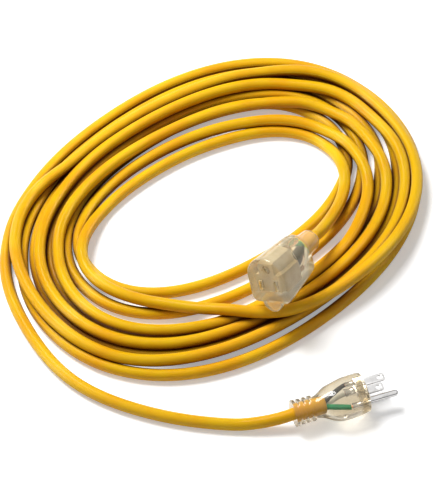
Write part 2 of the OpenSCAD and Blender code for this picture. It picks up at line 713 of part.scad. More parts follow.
module connector_body() color("wheat", 0.5) place_connector()
    difference() {
        conn_outside();
        conn_cavity();
    }
module connector_carrier() color("antiquewhite") place_connector()
    difference() {
        carrier_shape();
        contact_room(prong_gap);
    }
module contact_hot()
    color("darkgoldenrod") place_connector() contact(-blade_pitch / 2);
module contact_neutral()
    color("darkgoldenrod") place_connector() contact(blade_pitch / 2);
module contact_ground()
    color("darkgoldenrod") place_connector() sleeve();
module connector_jacket_end() color("gold") place_connector()
    difference() {
        bar_x(-conn_l, conn_jacket_front, cord_d);
        for (a = [-black_angle, -white_angle, -green_angle])
            bar_x(conn_jacket_front - 1, conn_jacket_front + 1,
                copper_d + 2 * mould_gap, wire_ring * cos(a),
                wire_ring * sin(a));
    }
module connector_wire_black()
    color("#161616") place_connector() wire(conn_hot_run);
module connector_wire_white()
    color("white") place_connector() wire(conn_neutral_run);
module connector_wire_green()
    color("seagreen") place_connector() wire(conn_ground_run);
module connector_copper() color("peru") place_connector() {
    for (r = [
        [conn_hot_run, -blade_pitch / 2, slot_z],
        [conn_neutral_run, blade_pitch / 2, slot_z],
        [conn_ground_run, 0, hole_z]
    ])
        bent_rod(concat([r[0][0] - [0.8, 0, 0]],
            [for (i = [1:2]) r[0][i]],
            [[carrier_back - 1.2, r[1], r[2]]]), copper_d);
}
module lamp_glass() color("orangered", 0.8) place_connector() lamp_shape();
module lamp_resistor()
    color("tan") place_connector() resistor_shape();
module lamp_leads() color("silver") place_connector()
    lamp_lead_shapes();

cord_coil();
cord_tail();
cord_lead();
plug_body();
plug_bridge();
plug_blade_hot();
plug_blade_neutral();
plug_ground_pin();
plug_jacket_end();
plug_wire_black();
plug_wire_white();
plug_wire_green();
plug_copper();
connector_body();
connector_carrier();
contact_hot();
contact_neutral();
contact_ground();
connector_jacket_end();
connector_wire_black();
connector_wire_white();
connector_wire_green();
connector_copper();
lamp_glass();
lamp_resistor();
lamp_leads();
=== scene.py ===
"""Looks of an outdoor extension cord that lies coiled on a pale studio floor.

A yellow round cord lies in a loose oval coil of two layers. A clear moulded
plug is on one end and a clear moulded connector on the other. Sizes in the
classes are millimetres in each piece's own frame. A Place turns them into
metres in the frame that all pieces share.
"""
import logging
import math
from dataclasses import dataclass
from enum import Enum
from typing import Any, Mapping, Optional, Sequence, Union

import bmesh
import bpy
import numpy as np
from mathutils import Matrix, Vector


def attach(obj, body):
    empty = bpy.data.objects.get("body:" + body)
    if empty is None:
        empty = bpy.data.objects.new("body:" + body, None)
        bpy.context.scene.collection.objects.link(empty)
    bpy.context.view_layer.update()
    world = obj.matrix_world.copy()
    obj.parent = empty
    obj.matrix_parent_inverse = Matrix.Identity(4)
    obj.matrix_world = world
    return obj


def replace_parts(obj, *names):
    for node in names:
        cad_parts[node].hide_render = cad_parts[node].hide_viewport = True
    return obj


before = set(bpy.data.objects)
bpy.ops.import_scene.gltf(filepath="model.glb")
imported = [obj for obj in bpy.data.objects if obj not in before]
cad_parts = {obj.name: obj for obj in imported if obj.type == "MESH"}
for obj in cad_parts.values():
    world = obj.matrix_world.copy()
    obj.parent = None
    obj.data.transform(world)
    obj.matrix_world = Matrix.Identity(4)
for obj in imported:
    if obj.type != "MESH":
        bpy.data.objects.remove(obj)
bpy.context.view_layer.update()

LOG = logging.getLogger("extension_cord")
MM = 0.001
BODY = "root"
MIDDLE = Vector((0.696019, -17.6499, 0.0))
WHITE = (1.0, 1.0, 1.0)
SHARP_ANGLE = 35.0

Colour = tuple[float, float, float]
Point = tuple[float, float, float]
Material = bpy.types.Material
Object = bpy.types.Object
Vert = bmesh.types.BMVert
Value = Union[float, "Signal"]
Paint = Union[Colour, "Signal"]


def seen(red: int, green: int, blue: int) -> Colour:
    """Turn a colour as it is seen on a screen into the shader's linear one.

    Args:
        red: Red, from 0 to 255.
        green: Green, from 0 to 255.
        blue: Blue, from 0 to 255.

    Returns:
        The linear colour, each part from 0 to 1.
    """
    parts = [v / 255 for v in (red, green, blue)]
    lin = [v / 12.92 if v <= 0.04045 else ((v + 0.055) / 1.055) ** 2.4 for v in parts]
    return lin[0], lin[1], lin[2]


# ---- Shader helpers -------------------------------------------------------


class Signal:
    """A value that varies over a surface: one output socket of a node."""

    def __init__(self, graph: "Graph", socket: bpy.types.NodeSocket) -> None:
        """Wrap a socket of a graph."""
        self.graph = graph
        self.socket = socket

    def _math(self, operation: str, first: Value, second: Value = 0.0) -> "Signal":
        """Add a Math node of an operation on one or two values."""
        return self.graph.add(
            "ShaderNodeMath", {"operation": operation}, {0: first, 1: second}
        )

    def __add__(self, other: Value) -> "Signal":
        """Sum of the two."""
        return self._math("ADD", self, other)

    def __sub__(self, other: Value) -> "Signal":
        """Difference of the two."""
        return self._math("SUBTRACT", self, other)

    def __rsub__(self, other: Value) -> "Signal":
        """Difference of the two, the other way round."""
        return self._math("SUBTRACT", other, self)

    def __mul__(self, other: Value) -> "Signal":
        """Product of the two."""
        return self._math("MULTIPLY", self, other)

    def sine(self) -> "Signal":
        """Sine of an angle in radians."""
        return self._math("SINE", self)

    def largest(self, other: Value) -> "Signal":
        """The larger of the two."""
        return self._math("MAXIMUM", self, other)

    def ramp(self, low: float, high: float) -> "Signal":
        """Rise smoothly from 0 to 1 between two levels.

        Args:
            low: Level at and below which the result is 0.
            high: Level at and above which the result is 1.

        Returns:
            The smooth step.
        """
        return self.graph.add(
            "ShaderNodeMapRange",
            {"interpolation_type": "SMOOTHSTEP"},
            {0: self, 1: low, 2: high, 3: 0.0, 4: 1.0},
        )


class Graph:
    """The node tree of one material or of the world."""

    def __init__(self, tree: bpy.types.NodeTree) -> None:
        """Take over a tree and empty it."""
        self.tree = tree
        tree.nodes.clear()

    def add(
        self,
        kind: str,
        settings: Optional[Mapping[str, Any]] = None,
        sockets: Optional[Mapping[Any, Any]] = None,
        output: Union[str, int] = 0,
    ) -> Signal:
        """Add a node, set it and link it.

        Args:
            kind: Type of the node.
            settings: Properties that are set first, such as an operation, or
                stops, a colour ramp's places and colours.
            sockets: Values or signals for the node's inputs.
            output: The output that the returned signal stands for.

        Returns:
            The signal of that output.
        """
        node = self.tree.nodes.new(kind)
        for name, value in (settings or {}).items():
            if name == "stops":
                self._set_stops(node.color_ramp, value)
            else:
                setattr(node, name, value)
        for key, value in (sockets or {}).items():
            socket = node.inputs[key]
            if isinstance(value, Signal):
                self.tree.links.new(value.socket, socket)
            elif socket.type == "RGBA":
                socket.default_value = (*value, 1.0)
            else:
                socket.default_value = value
        if not len(node.outputs):
            return Signal(self, node.inputs[0])
        return Signal(self, node.outputs[output])

    @staticmethod
    def _set_stops(
        ramp: bpy.types.ColorRamp, stops: Sequence[tuple[float, Colour]]
    ) -> None:
        """Give a colour ramp its stops."""
        while len(ramp.elements) > 1:
            ramp.elements.remove(ramp.elements[-1])
        for number, (place, colour) in enumerate(stops):
            stop = ramp.elements[0] if number == 0 else ramp.elements.new(place)
            stop.position = place
            stop.color = (*colour, 1.0)

    def blend(self, factor: Value, first: Paint, second: Paint) -> Signal:
        """Mix two colours.

        Args:
            factor: Share of the second colour.
            first: First colour or signal.
            second: Second colour or signal.

        Returns:
            The mixed colour.
        """
        return self.add(
            "ShaderNodeMix",
            {"data_type": "RGBA"},
            {0: factor, 6: first, 7: second},
            2,
        )

    def place(self) -> Signal:
        """Object coordinates of the surface."""
        return self.add("ShaderNodeTexCoord", output="Object")

    def turned_place(self, turn: Matrix, stretch: Sequence[float]) -> Signal:
        """Object coordinates turned into a piece's own frame and stretched.

        Args:
            turn: The turn from the shared frame into the piece's own.
            stretch: Scale along the piece's own axes.

        Returns:
            The mapped coordinates.
        """
        own = self.add(
            "ShaderNodeMapping",
            {"vector_type": "POINT"},
            {"Vector": self.place(), "Rotation": turn.to_euler("XYZ")},
        )
        return self.add(
            "ShaderNodeVectorMath",
            {"operation": "MULTIPLY"},
            {0: own, 1: tuple(stretch)},
        )

    def noise(
        self, where: Signal, scale: float, detail: float = 2.0, rough: float = 0.5
    ) -> Signal:
        """Noise about 0.5.

        Args:
            where: Coordinates that it reads.
            scale: Lumps per metre.
            detail: Number of finer layers.
            rough: Strength of the finer layers.

        Returns:
            The noise.
        """
        return self.add(
            "ShaderNodeTexNoise",
            {"noise_dimensions": "3D"},
            {"Vector": where, "Scale": scale, "Detail": detail, "Roughness": rough},
            "Fac",
        )

    def bump(self, height: Signal, depth: float) -> Signal:
        """Bump of a height.

        Args:
            height: Height from 0 to 1.
            depth: Depth of a height of 1, in metres.

        Returns:
            The bumped normal.
        """
        return self.add(
            "ShaderNodeBump", None,
            {"Height": height, "Distance": depth, "Strength": 1.0},
        )

    def ray(self, kind: str) -> Signal:
        """One for rays of a kind, such as Camera or Glossy."""
        return self.add("ShaderNodeLightPath", None, None, f"Is {kind} Ray")

    def axis(self, where: Signal, name: str) -> Signal:
        """One coordinate of a place."""
        return self.add("ShaderNodeSeparateXYZ", None, {0: where}, name)

    def principled(self, sockets: Mapping[str, Any]) -> Signal:
        """Principled shader with these inputs."""
        return self.add("ShaderNodeBsdfPrincipled", None, sockets)

    def surface(self, shader: Signal) -> None:
        """Make a shader the tree's surface."""
        kind = (
            "ShaderNodeOutputWorld"
            if any(n.type == "BACKGROUND" for n in self.tree.nodes)
            else "ShaderNodeOutputMaterial"
        )
        self.add(kind, None, {"Surface": shader})


def new_material(name: str) -> tuple[Material, Graph]:
    """Start a material.

    Args:
        name: Its name.

    Returns:
        The material and its empty graph.
    """
    material = bpy.data.materials.new(name)
    material.use_nodes = True
    return material, Graph(material.node_tree)


# ---- Finishes -------------------------------------------------------------


@dataclass(frozen=True)
class JacketFinish:
    """Glossy yellow vinyl drawn over three twisted conductors, with painted shade in
    its creases and painted light inside the mouldings.
    """

    colour: Colour = seen(255, 201, 12)
    deep: Colour = seen(253, 182, 4)
    dust: Colour = seen(240, 200, 90)
    # Painted shade colour for the creases between turns of the cord.
    crease_shade: Colour = seen(112, 40, 1)
    # Painted light: paler, brighter yellow for the jacket inside the mouldings, making
    # up for the light that the clear bodies hold back.
    painted_bright_inside: Colour = seen(255, 252, 92)
    # Reach of the painted crease shade, in metres.
    crease_shade_reach: float = 0.009
    length: float = 7.56
    bonded_start: float = 0.0245
    bonded_end: float = 0.0245
    twist_pitch: float = 0.085
    twist_depth: float = 0.00010

    def material(self) -> Material:
        """Build the jacket's material."""
        material, g = new_material("jacket_vinyl")
        place = g.place()
        uv = g.add("ShaderNodeUVMap", {"uv_map": "UVMap"})
        around = g.axis(uv, "X")
        along = g.axis(uv, "Y") * self.length
        turn = (around * 3.0 + along * (3.0 / self.twist_pitch)) * (2 * math.pi)
        cores = turn.sine() * 0.5 + 0.5
        wander = g.noise(place, 30.0, 3.0)
        scuff = g.noise(place, 420.0, 4.0, 0.7).ramp(0.60, 0.74)
        peel = g.noise(place, 1500.0, 1.0)
        colour = g.blend(wander.ramp(0.35, 0.7), self.colour, self.deep)
        colour = g.blend(scuff * 0.15, colour, self.dust)
        # Painted shade: ambient occlusion among the cord's own turns blends the colour
        # towards a deep brown where turns press together, in place of the shade in
        # those creases.
        open_air = g.add(
            "ShaderNodeAmbientOcclusion", {"samples": 6, "only_local": True},
            {"Distance": self.crease_shade_reach}, "AO",
        )
        colour = g.blend((1.0 - open_air).ramp(0.10, 0.85), colour, self.crease_shade)
        # Painted light: the lengths held in the connector and the plug take the paler,
        # brighter yellow.
        inside = (along - self.bonded_start).ramp(-0.0005, 0.0005)
        inside = inside * (self.length - self.bonded_end - along).ramp(-0.0005, 0.0005)
        colour = g.blend(inside, self.painted_bright_inside, colour)
        normal = g.bump(cores * 0.85 + peel * 0.15, self.twist_depth)
        shader = g.principled({
            "Base Color": colour,
            "Roughness": wander * 0.10 + scuff * 0.12 + 0.30,
            "Normal": normal,
            "Specular IOR Level": 0.25,
            "Coat Weight": 0.08,
            "Coat Roughness": 0.15,
        })
        g.surface(shader)
        return material


@dataclass(frozen=True)
class ClearVinylFinish:
    """Clear, warm and slightly milky moulded vinyl that lets light through."""

    name: str
    tint: Colour = seen(217, 208, 188)
    haze_tint: Colour = seen(208, 190, 160)
    lets_through: Colour = seen(168, 163, 154)
    clearness: float = 0.94

    def material(self) -> Material:
        """Build the clear mouldings' material."""
        material, g = new_material(self.name)
        place = g.place()
        flow = g.noise(place, 120.0, 3.0)
        peel = g.noise(place, 900.0, 2.0)
        colour = g.blend(flow.ramp(0.4, 0.75) * 0.5, self.tint, self.haze_tint)
        shader = g.principled({
            "Base Color": colour,
            "Roughness": flow * 0.08 + 0.05,
            "Normal": g.bump(peel, 0.00002),
            "IOR": 1.48,
            "Transmission Weight": self.clearness,
            "Specular IOR Level": 0.5,
            },
        )
        lit = g.add("ShaderNodeBsdfTransparent", None, {"Color": self.lets_through})
        g.surface(
            g.add("ShaderNodeMixShader", None, {0: g.ray("Shadow"), 1: shader, 2: lit})
        )
        return material


class Grain(Enum):
    """How a metal piece was made, which sets the lines on it."""

    DRAWN = (60.0, 2600.0, 2600.0)
    STAMPED = (900.0, 900.0, 900.0)


@dataclass(frozen=True)
class MetalFinish:
    """Metal with fine lines and faint stains."""

    name: str
    colour: Colour
    # Stain colour; on the contacts it is painted shade.
    stain_and_shade: Colour
    roughness: float
    grain: Grain
    turn: Matrix

    def material(self) -> Material:
        """Build the metal's material."""
        material, g = new_material(self.name)
        where = g.turned_place(self.turn, self.grain.value)
        lines = g.noise(where, 1.0, 3.0, 0.6)
        cloud = g.noise(g.place(), 260.0, 3.0)
        colour = g.blend(cloud.ramp(0.45, 0.75) * 0.5, self.colour, self.stain_and_shade)
        shader = g.add(
            "ShaderNodeBsdfPrincipled",
            None,
            {
            "Base Color": colour,
            "Metallic": 1.0,
            "Roughness": lines * 0.14 + cloud * 0.08 + (self.roughness - 0.1),
            "Normal": g.bump(lines, 0.00002),
        })
        g.surface(shader)
        return material


@dataclass(frozen=True)
class PlasticFinish:
    """Moulded plastic with flow marks, a soft gloss and handling marks."""

    name: str
    colour: Colour
    second: Colour
    roughness: float = 0.35
    clearness: float = 0.0
    index: float = 1.5

    def material(self) -> Material:
        """Build the plastic's material."""
        material, g = new_material(self.name)
        place = g.place()
        flow = g.noise(place, 180.0, 4.0, 0.6)
        speck = g.noise(place, 1700.0, 2.0)
        colour = g.blend(flow.ramp(0.35, 0.7), self.colour, self.second)
        shader = g.principled({
            "Base Color": colour,
            "Roughness": flow * 0.12 + (self.roughness - 0.06),
            "Normal": g.bump(speck, 0.000015),
            "Transmission Weight": self.clearness,
            "IOR": self.index,
        })
        g.surface(shader)
        return material


@dataclass(frozen=True)
class ResistorFinish:
    """Glazed ceramic with painted colour bands along its length."""

    body: Colour = seen(214, 186, 140)
    bands: tuple[Colour, ...] = (
        seen(120, 70, 30),
        seen(30, 28, 26),
        seen(225, 150, 30),
        seen(190, 160, 70),
    )

    def material(self, turn: Matrix, start: float, length: float) -> Material:
        """Build the resistor's material.

        Args:
            turn: The turn from the shared frame into the connector's own.
            start: Place of the resistor's first end along its own X.
            length: Length that the bands share, in metres.

        Returns:
            The material.
        """
        material, g = new_material("resistor_glaze")
        own = g.turned_place(turn, (1.0, 1.0, 1.0))
        along = g.axis(own, "X")
        share = (along - start) * (1 / length)
        stops: list[tuple[float, Colour]] = [(0.0, self.body)]
        for number, colour in enumerate(self.bands):
            place = 0.2 + 0.17 * number
            stops += [(place, colour), (place + 0.07, self.body)]
        paint = g.add("ShaderNodeValToRGB", {"stops": stops}, {"Fac": share}, "Color")
        paint.socket.node.color_ramp.interpolation = "CONSTANT"
        speck = g.noise(g.place(), 1200.0, 2.0)
        shader = g.principled({
            "Base Color": paint,
            "Roughness": speck * 0.1 + 0.25,
            "Normal": g.bump(speck, 0.00001),
        })
        g.surface(shader)
        return material


# ---- Places and shapes ----------------------------------------------------


def new_object(name: str, data: bpy.types.ID) -> Object:
    """Add an object to the scene, at the origin."""
    made = bpy.data.objects.new(name, data)
    bpy.context.scene.collection.objects.link(made)
    return made


def facing(at: Vector, target: Vector) -> Matrix:
    """Matrix of a camera or a lamp that looks at a target."""
    turn = (target - at).to_track_quat("-Z", "Y")
    return Matrix.Translation(at) @ turn.to_matrix().to_4x4()


def arc(start: float, sweep: float, steps: int) -> list[tuple[float, float]]:
    """Points of a unit arc.

    Args:
        start: First angle in degrees.
        sweep: Angle from the first point to the last.
        steps: Steps between them.

    Returns:
        Cosine and sine of each point's angle.
    """
    angles = [math.radians(start + sweep * k / steps) for k in range(steps + 1)]
    return [(math.cos(a), math.sin(a)) for a in angles]


@dataclass(frozen=True)
class Place:
    """Where a piece lies: its own frame in the frame that all share."""

    at: Vector
    turn: Matrix

    def metres(self) -> Matrix:
        """Matrix from the piece's own millimetres to shared metres."""
        origin = (self.at - MIDDLE) * MM
        return (
            Matrix.Translation(origin)
            @ self.turn.to_4x4()
            @ Matrix.Diagonal((MM, MM, MM, 1.0))
        )

    def point(self, x: float, y: float = 0.0, z: float = 0.0) -> Vector:
        """A point of the piece's own frame, in shared metres."""
        return self.metres() @ Vector((x, y, z))


class Former:
    """A bmesh that is shaped in a piece's own millimetres."""

    def __init__(self) -> None:
        """Start with nothing."""
        self.bm = bmesh.new()

    @staticmethod
    def across(x: float, width: float, height: float, lift: float = 0.0) -> Matrix:
        """Matrix that sets a unit circle square to X as an ellipse.

        Args:
            x: Place along X.
            width: Size across Y.
            height: Size across Z.
            lift: Height of its middle.

        Returns:
            The matrix.
        """
        return (
            Matrix.Translation((x, 0.0, lift))
            @ Matrix.Diagonal((1.0, width / 2, height / 2, 1.0))
            @ Matrix.Rotation(math.pi / 2, 4, "Y")
        )

    def next_ring(self, ring: list[Vert]) -> list[Vert]:
        """Extrude a ring of vertices where it stands.

        Args:
            ring: Vertices in order round the ring.

        Returns:
            The new ring in the same order.
        """
        edges = [self.bm.edges.get((ring[i - 1], ring[i])) for i in range(len(ring))]
        made = bmesh.ops.extrude_edge_only(self.bm, edges=edges)["geom"]
        fresh = {v for v in made if isinstance(v, Vert)}
        return [
            next(e.other_vert(v) for e in v.link_edges if e.other_vert(v) in fresh)
            for v in ring
        ]

    def first_ring(self, sides: int) -> list[Vert]:
        """Make a unit ring in order, which next_ring grows from."""
        made = bmesh.ops.create_circle(self.bm, segments=sides, radius=1.0)["verts"]
        return sorted(made, key=lambda v: math.atan2(v.co.y, v.co.x))

    def run_ellipses(self, stations: Sequence[Matrix], sides: int) -> None:
        """Run a closed skin through ellipses.

        Args:
            stations: One matrix for each ellipse, from across.
            sides: Vertices in a ring.
        """
        ring = self.first_ring(sides)
        bmesh.ops.transform(self.bm, matrix=stations[0], verts=ring)
        first = ring
        for before, after in zip(stations, stations[1:]):
            ring = self.next_ring(ring)
            bmesh.ops.transform(self.bm, matrix=after @ before.inverted(), verts=ring)
        self.cap(first)
        self.cap(ring)

    def run_outlines(self, stations: Sequence[Sequence[Vector]]) -> list[Vert]:
        """Run a skin through outlines that have the same number of points.

        Args:
            stations: The outlines, whose points follow each other.

        Returns:
            The last ring, which is left open. The first one is capped.
        """
        ring = self.first_ring(len(stations[0]))
        first = ring
        for number, outline in enumerate(stations):
            if number:
                ring = self.next_ring(ring)
            for vert, point in zip(ring, outline):
                vert.co = point
        self.cap(first)
        return ring

    def cap(self, ring: Sequence[Vert]) -> None:
        """Close a ring with a face."""
        self.bm.faces.new(ring)

    def turned(
        self, profile: Sequence[tuple[float, float]], y: float, z: float, steps: int
    ) -> None:
        """Turn a profile about a line along X.

        Args:
            profile: Places along X and radii.
            y: Place of the line across Y.
            z: Height of the line.
            steps: Steps in the full turn.
        """
        verts = [self.bm.verts.new((x, y, z + r)) for x, r in profile]
        edges = [self.bm.edges.new(pair) for pair in zip(verts, verts[1:])]
        bmesh.ops.spin(
            self.bm,
            geom=verts + edges,
            cent=(0.0, y, z),
            axis=(1.0, 0.0, 0.0),
            angle=2 * math.pi,
            steps=steps,
            use_merge=True,
        )
        bmesh.ops.remove_doubles(self.bm, verts=self.bm.verts[:], dist=0.0005)

    def soften(self, offset: float, angle: float) -> None:
        """Round the edges that turn by more than an angle.

        Args:
            offset: Width of the rounding.
            angle: Least turn in degrees.
        """
        sharp = [
            e
            for e in self.bm.edges
            if len(e.link_faces) == 2
            and e.calc_face_angle(0.0) > math.radians(angle)
        ]
        self.bevel(sharp, offset, 2)

    def bevel(
        self, edges: Sequence[bmesh.types.BMEdge], offset: float, segments: int
    ) -> None:
        """Round some edges by an offset, in a number of steps."""
        bmesh.ops.bevel(
            self.bm, geom=edges, offset=offset, offset_type="OFFSET",
            affect="EDGES", segments=segments, profile=0.5, material=-1,
            clamp_overlap=True,
        )

    def piece(self, name: str, place: Place, finish: Material) -> Object:
        """Set the shape down in the shared frame as an object.

        Args:
            name: Name of the piece.
            place: Where its own frame lies.
            finish: Its material.

        Returns:
            The object.
        """
        bmesh.ops.transform(self.bm, matrix=place.metres(), verts=self.bm.verts[:])
        bmesh.ops.recalc_face_normals(self.bm, faces=self.bm.faces[:])
        mesh = bpy.data.meshes.new(name)
        self.bm.to_mesh(mesh)
        self.bm.free()
        for polygon in mesh.polygons:
            polygon.use_smooth = True
        mesh.set_sharp_from_angle(angle=math.radians(SHARP_ANGLE))
        piece = new_object(name, mesh)
        piece.data.materials.append(finish)
        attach(piece, BODY)
        LOG.info("%s: %d faces", name, len(mesh.polygons))
        return piece


def tube_mesh(name: str, path: np.ndarray, radius: float, sides: int) -> bpy.types.Mesh:
    """Make a closed tube that follows a path.

    Args:
        name: Name of the mesh.
        path: Points in metres.
        radius: Radius in metres.
        sides: Sides of the tube, a multiple of four.

    Returns:
        The mesh, with its own UV map.
    """
    curve = bpy.data.curves.new(name, "CURVE")
    curve.dimensions = "3D"
    curve.bevel_depth = radius
    curve.bevel_resolution = sides // 2 - 2
    curve.use_fill_caps = True
    curve.twist_mode = "MINIMUM"
    spline = curve.splines.new("POLY")
    spline.points.add(len(path) - 1)
    spline.points.foreach_set("co", np.c_[path, np.ones(len(path))].ravel())
    holder = new_object(name, curve)
    bpy.context.view_layer.update()
    mesh = bpy.data.meshes.new_from_object(
        holder.evaluated_get(bpy.context.evaluated_depsgraph_get())
    )
    bpy.data.objects.remove(holder)
    bpy.data.curves.remove(curve)
    body = bmesh.new()
    body.from_mesh(mesh)
    bmesh.ops.remove_doubles(body, verts=body.verts[:], dist=1e-7)
    bmesh.ops.recalc_face_normals(body, faces=body.faces[:])
    body.to_mesh(mesh)
    body.free()
    mesh.name = name
    for polygon in mesh.polygons:
        polygon.use_smooth = True
    return mesh


def dress(node: str, material: Material) -> None:
    """Give a node of the frame its material.

    Args:
        node: Name of the node.
        material: Its material.
    """
    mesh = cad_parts[node].data
    for number in range(len(mesh.materials)):
        mesh.materials[number] = material
    if not len(mesh.materials):
        mesh.materials.append(material)
    LOG.info("%s: dressed in %s", node, material.name)


# ---- Studio ---------------------------------------------------------------


@dataclass
class Studio:
    """Pale floor, soft light and the camera."""

    eye: Vector = Vector((0.0, -1175.6, 1618.0))
    aim: Vector = Vector((4.1, -25.37, 0.0))
    lens: float = 193.45
    film: float = 36.0
    ambient: float = 0.20
    horizon: float = 0.08
    key_power: float = 38.0
    key_size: float = 0.9
    key_at: Vector = Vector((-0.62, 0.58, 1.4))
    sky_rise: tuple[float, float] = (0.10, 0.75)
    floor_size: float = 30.0
    floor_glow: float = 0.34
    floor_drop: float = 0.0004

    def build(self) -> None:
        """Make the camera, the lamps, the world and the floor."""
        self._camera()
        self._lamps()
        self._world()
        self._floor()
        bpy.context.scene.view_settings.view_transform = "Standard"
        LOG.info("studio is set")

    def _camera(self) -> None:
        """Put the camera at the viewing angle."""
        data = bpy.data.cameras.new("camera")
        data.sensor_fit = "VERTICAL"
        data.sensor_height = self.film
        data.lens = self.lens
        data.clip_end = 100.0
        camera = new_object("camera", data)
        camera.matrix_world = facing((self.eye - MIDDLE) * MM, (self.aim - MIDDLE) * MM)
        bpy.context.scene.camera = camera

    def _lamps(self) -> None:
        """Hang one large soft lamp behind on the left."""
        data = bpy.data.lights.new("key", "AREA")
        data.shape = "DISK"
        data.size = self.key_size
        data.energy = self.key_power
        lamp = new_object("key", data)
        lamp.matrix_world = facing(self.key_at, Vector())

    def _world(self) -> None:
        """Light from all round, which is seen as white."""
        world = bpy.data.worlds.new("studio")
        bpy.context.scene.world = world
        world.use_nodes = True
        g = Graph(world.node_tree)
        way = g.add("ShaderNodeTexCoord", output="Generated")
        height = g.axis(way, "Z")
        overhead = height.ramp(*self.sky_rise) * (1.0 - self.horizon) + self.horizon
        mirrored = g.ray("Glossy").largest(g.ray("Transmission"))
        level = g.ray("Camera").largest(
            overhead * mirrored + (1.0 - mirrored) * self.ambient
        )
        g.surface(
            g.add("ShaderNodeBackground", None, {"Color": WHITE, "Strength": level})
        )

    def _floor(self) -> None:
        """Lay the floor."""
        former = bmesh.new()
        bmesh.ops.create_grid(
            former, x_segments=1, y_segments=1, size=self.floor_size / 2
        )
        mesh = bpy.data.meshes.new("floor")
        former.to_mesh(mesh)
        former.free()
        material, g = new_material("floor_paper")
        grain = g.noise(g.place(), 40.0, 3.0)
        paper = g.blend(grain, (0.90, 0.90, 0.90), (0.93, 0.93, 0.93))
        plain = g.add("ShaderNodeBsdfDiffuse", None, {"Color": paper})
        glow = g.add(
            "ShaderNodeEmission", None, {"Color": WHITE, "Strength": self.floor_glow}
        )
        lifted = g.add("ShaderNodeAddShader", None, {0: plain, 1: glow})
        shown = g.ray("Camera").largest(g.ray("Transmission"))
        g.surface(g.add("ShaderNodeMixShader", None, {0: shown, 1: plain, 2: lifted}))
        mesh.materials.append(material)
        mesh.transform(Matrix.Translation((0.0, 0.0, -self.floor_drop)))
        new_object("floor", mesh)


# ---- Cord -----------------------------------------------------------------


@dataclass(frozen=True)
class Oval:
    """One lane's oval, squarer with a higher power."""

    x: float
    y: float
    half_length: float
    half_width: float
    tilt: float
    power: float

    def mixed(self, other: "Oval", share: float) -> "Oval":
        """The oval part of the way to another one."""
        mine = np.array(list(vars(self).values()))
        theirs = np.array(list(vars(other).values()))
        return Oval(*(mine * (1 - share) + theirs * share))

    def point(self, angle: float) -> np.ndarray:
        """Point at an angle in degrees."""
        c, s = math.cos(math.radians(angle)), math.sin(math.radians(angle))
        k = (abs(c) ** self.power + abs(s) ** self.power) ** (-1 / self.power)
        x, y = k * self.half_length * c, k * self.half_width * s
        ct, st = math.cos(math.radians(self.tilt)), math.sin(math.radians(self.tilt))
        return np.array([self.x + x * ct - y * st, self.y + x * st + y * ct])


